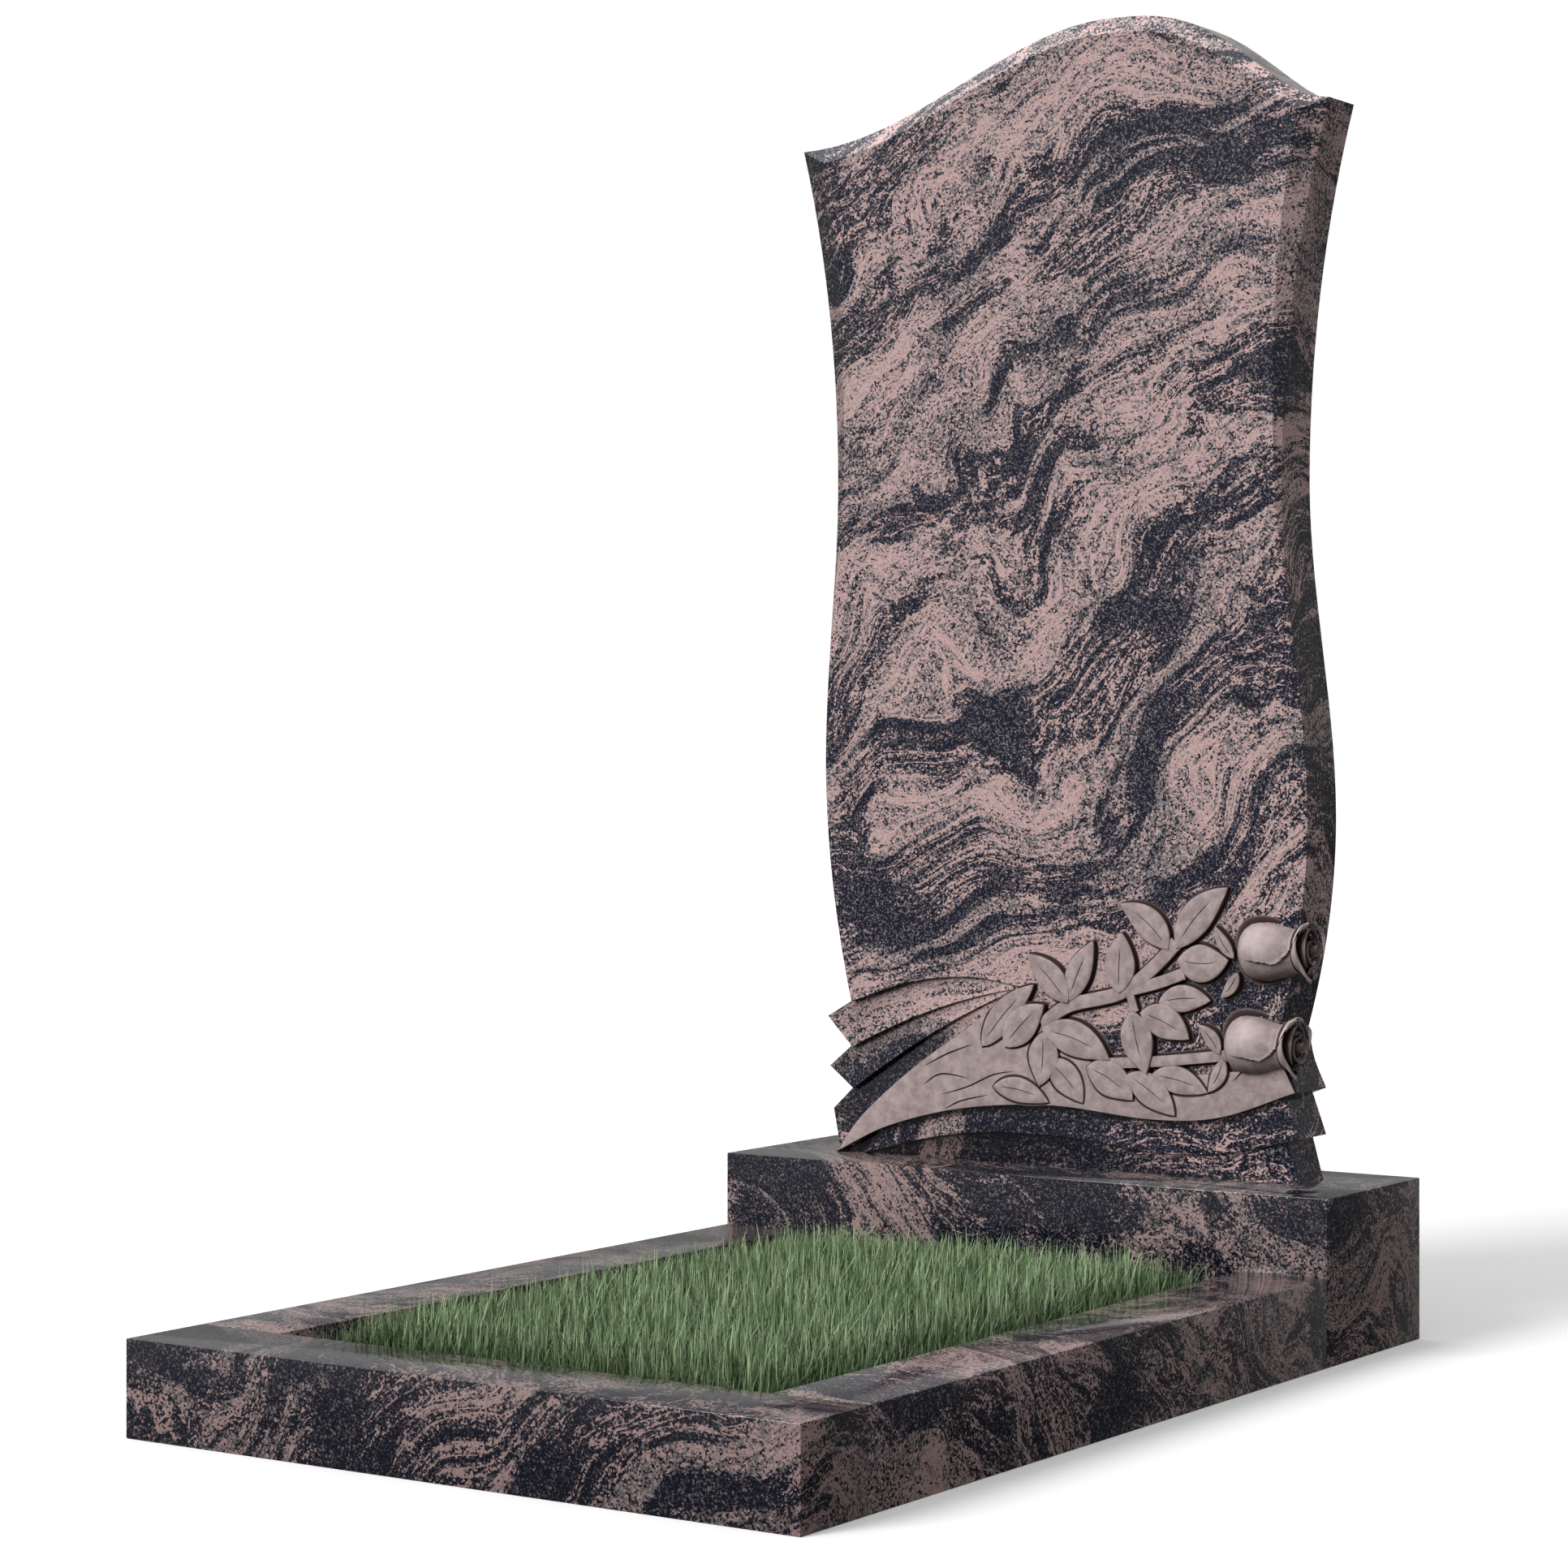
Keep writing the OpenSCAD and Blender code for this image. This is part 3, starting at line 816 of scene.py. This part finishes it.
def add_border(bm):
    """A shallow band on the face round the closed end of a rose, coloured as painted shade."""
    half = [Vector((t * rose_l, r * rose_r)) for t, r in CUP[1:border_end]]
    line = [Vector((point.x, -point.y)) for point in reversed(half)] + half
    rows, reach = len(line) - 1, len(BORDER) - 1
    cut = bm.verts.layers.float["cut"]
    made = bmesh.ops.create_grid(bm, x_segments=rows, y_segments=reach, size=1)["verts"]
    for vert in made:
        i = round((vert.co.x + 1) / 2 * rows)
        away, height, dark = BORDER[round((vert.co.y + 1) / 2 * reach)]
        along = (line[min(i + 1, rows)] - line[max(i - 1, 0)]).normalized()
        outward = Vector((-along.y, along.x))
        spread = 0.7 + 0.7 * max(outward.dot(BORDER_SIDE), 0)
        taper = math.sin(math.pi * (0.06 + 0.88 * i / rows)) ** 0.5
        spot = line[i] + outward * away * taper * spread
        vert.co = (spot.x, spot.y, height)
        vert[cut] = dark


def make_rose(name, lip_x, height, tilt, phase):
    """A rose lying half in the stone, with its open end to the right; phase turns its petals."""
    bm = new_carving()
    shape_cup(bm, phase)
    add_bloom(bm)
    add_border(bm)
    place = (Matrix.Translation((lip_x - rose_l * lip_at, height, 0))
             @ Matrix.Rotation(math.radians(tilt), 4, "Z"))
    bm.transform(place)
    finish_carving(bm, name, 50)


make_rose("rose_upper", 273, 212, 3, 0.05)
make_rose("rose_lower", 259, 127, 0, 0.02)

# ---- earth and grass ----

lump_scale = 45
lump_height = 2.2 * MM


def make_soil():
    """The block of earth, with a lumpy top."""
    bm = bmesh.new()
    bmesh.ops.create_grid(bm, x_segments=60, y_segments=96, size=0.5)
    size = turf_high - turf_low
    middle = (turf_high + turf_low) / 2
    for vert in bm.verts:
        x = middle.x + vert.co.x * size.x
        y = middle.y + vert.co.y * size.y
        is_edge = max(abs(vert.co.x), abs(vert.co.y)) > 0.499
        lump = noise.fractal((x * lump_scale, y * lump_scale, 0), 1.0, 2.0, 4) * lump_height
        vert.co = (x, y, turf_high.z + (0 if is_edge else lump))
    rim = [edge for edge in bm.edges if edge.is_boundary]
    sides = bmesh.ops.extrude_edge_only(bm, edges=rim)["geom"]
    foot = [item for item in sides if isinstance(item, bmesh.types.BMVert)]
    for vert in foot:
        vert.co.z = turf_low.z
    bmesh.ops.holes_fill(bm, edges=[edge for edge in bm.edges if edge.is_boundary], sides=0)
    bmesh.ops.recalc_face_normals(bm, faces=bm.faces)
    finish_piece(bm, "earth", SOIL, "turf", "turf", smooth_angle=60)


tuft_kinds = 12
tuft_blades = 9
tuft_r = 9 * MM
blade_faces = 3
# How quickly a blade narrows, and how much of its height it loses by leaning
blade_taper = 2.2
blade_droop = 0.2


def make_tuft(seed):
    """A few bent blades of grass around one spot, standing on z = 0."""
    dice = random.Random(seed)
    bm = bmesh.new()
    tone = bm.verts.layers.float.new("blade")
    for _ in range(tuft_blades):
        tall = dice.uniform(28, 58) * MM
        wide = dice.uniform(1.2, 2.2) * MM
        lean = dice.gauss(0, 0.44)
        curl = dice.uniform(-0.3, 0.3)
        light = dice.random() ** 1.4
        turn = dice.uniform(0, math.tau)
        spot = Vector((dice.uniform(-tuft_r, tuft_r), dice.uniform(-tuft_r, tuft_r), 0))
        made = bmesh.ops.create_grid(bm, x_segments=1, y_segments=blade_faces, size=1)["verts"]
        for vert in made:
            rise = (vert.co.y + 1) / 2
            across = vert.co.x * wide / 2 * (1 - rise ** blade_taper)
            out = tall * (lean * rise + curl * rise ** 2)
            vert.co = (across, out, tall * rise * (1 - blade_droop * abs(lean + curl * rise)))
            vert[tone] = light
        bmesh.ops.remove_doubles(bm, verts=made, dist=1e-6)
        live = [vert for vert in made if vert.is_valid]
        bmesh.ops.rotate(bm, verts=live, cent=(0, 0, 0), matrix=Matrix.Rotation(turn, 3, "Z"))
        bmesh.ops.translate(bm, verts=live, vec=spot)
    mesh = bpy.data.meshes.new("tuft")
    bm.to_mesh(mesh)
    bm.free()
    return mesh


tuft_gap = 9.2 * MM
# The bare rim between the grass and the stones
edge_gap = 13 * MM
# Near the stones the tufts are small: their size there, and over what distance they reach full size
edge_size = 0.42
edge_reach = 100 * MM
tuft_sunk = 1 * MM
strips = 4


def make_grass():
    """Tufts on a loose grid over the bed, in a few strips across it."""
    dice = random.Random(7)
    tufts = [make_tuft(seed) for seed in range(tuft_kinds)]
    low = turf_low + Vector((edge_gap, edge_gap, 0))
    high = turf_high - Vector((edge_gap, edge_gap, 0))
    columns = round((high.x - low.x) / tuft_gap)
    rows = round((high.y - low.y) / tuft_gap)
    for strip in range(strips):
        bm = bmesh.new()
        for row in range(rows * strip // strips, rows * (strip + 1) // strips):
            for column in range(columns):
                x = low.x + (column + dice.uniform(0.1, 0.9)) * (high.x - low.x) / columns
                y = low.y + (row + dice.uniform(0.1, 0.9)) * (high.y - low.y) / rows
                inset = min(x - turf_low.x, turf_high.x - x, y - turf_low.y, turf_high.y - y)
                size = dice.uniform(0.8, 1.08) * min(edge_size + inset / edge_reach, 1)
                place = (Matrix.Translation((x, y, turf_high.z - tuft_sunk))
                         @ Matrix.Rotation(dice.uniform(0, math.tau), 4, "Z") @ Matrix.Scale(size, 4))
                tuft = tufts[dice.randrange(len(tufts))]
                tuft.transform(place)
                bm.from_mesh(tuft)
                tuft.transform(place.inverted())
        finish_piece(bm, f"grass_{strip + 1}", GRASS, "turf", smooth_angle=80)
    for tuft in tufts:
        bpy.data.meshes.remove(tuft)


make_soil()
make_grass()

# ---- floor and light ----

floor_size = 30
floor_glow = 0.14


def make_floor():
    """A wide pale floor that glows a little, so that it meets the backdrop without a line."""
    mesh = bpy.data.meshes.new("floor")
    bm = bmesh.new()
    bmesh.ops.create_grid(bm, x_segments=1, y_segments=1, size=floor_size)
    bm.to_mesh(mesh)
    bm.free()
    paint = Paint("pale_floor")
    paint.shade(Base_Color=(0.9, 0.9, 0.9, 1), Roughness=0.9, Specular_IOR_Level=0.0,
                Emission_Color=(1, 1, 1, 1), Emission_Strength=floor_glow)
    mesh.materials.append(paint.material)
    floor = bpy.data.objects.new("floor", mesh)
    bpy.context.collection.objects.link(floor)
    floor.visible_diffuse = False
    floor.visible_glossy = False


def make_lamp(name, place, aim, size, power):
    """A broad panel that only shows as a sheen on polished stone."""
    data = bpy.data.lights.new(name, "AREA")
    data.size = size
    data.energy = power
    lamp = bpy.data.objects.new(name, data)
    lamp.location = place
    lamp.rotation_euler = (Vector(aim) - Vector(place)).to_track_quat("-Z", "Y").to_euler()
    lamp.visible_diffuse = False
    bpy.context.collection.objects.link(lamp)


def make_sun(name, towards, strength, spread):
    """A soft sun; towards points from the set to the sun."""
    data = bpy.data.lights.new(name, "SUN")
    data.energy = strength
    data.angle = math.radians(spread)
    sun = bpy.data.objects.new(name, data)
    sun.rotation_euler = Vector(towards).to_track_quat("Z", "Y").to_euler()
    bpy.context.collection.objects.link(sun)


def make_world():
    """Soft light, strong above and weak on the right and behind, with a white backdrop for the camera."""
    world = bpy.data.worlds.new("studio")
    bpy.context.scene.world = world
    world.use_nodes = True
    nodes, links = world.node_tree.nodes, world.node_tree.links

    def ramp(socket, low, high, at_low, at_high):
        """A smooth change from one strength to another as the direction goes from low to high."""
        node = nodes.new("ShaderNodeMapRange")
        node.interpolation_type = "SMOOTHSTEP"
        for name, value in (("From Min", low), ("From Max", high), ("To Min", at_low), ("To Max", at_high)):
            node.inputs[name].default_value = value
        links.new(socket, node.inputs["Value"])
        return node.outputs[0]

    direction = nodes.new("ShaderNodeSeparateXYZ")
    links.new(nodes.new("ShaderNodeTexCoord").outputs["Generated"], direction.inputs[0])
    strength = ramp(direction.outputs["Z"], -0.25, 0.35, 0.22, 0.85)
    for axis, near, far, dim in (("X", -0.2, 0.5, 0.75), ("Y", 0.1, 0.8, 0.5)):
        product = nodes.new("ShaderNodeMath")
        product.operation = "MULTIPLY"
        links.new(strength, product.inputs[0])
        links.new(ramp(direction.outputs[axis], near, far, 1.0, dim), product.inputs[1])
        strength = product.outputs[0]
    soft = nodes["Background"]
    soft.inputs["Color"].default_value = (1, 1, 1, 1)
    links.new(strength, soft.inputs["Strength"])
    backdrop = nodes.new("ShaderNodeBackground")
    backdrop.inputs["Color"].default_value = (1, 1, 1, 1)
    path = nodes.new("ShaderNodeLightPath")
    choose = nodes.new("ShaderNodeMixShader")
    links.new(path.outputs["Is Camera Ray"], choose.inputs[0])
    links.new(soft.outputs[0], choose.inputs[1])
    links.new(backdrop.outputs[0], choose.inputs[2])
    links.new(choose.outputs[0], nodes["World Output"].inputs["Surface"])


make_floor()
make_world()
make_sun("key", (-0.30, -0.78, 0.54), 2.6, 25)
make_lamp("overhead", (-1.1, -0.7, 3.7), (0.1, 0.4, 1.2), 4.4, 110)
bpy.context.scene.view_settings.view_transform = "Standard"
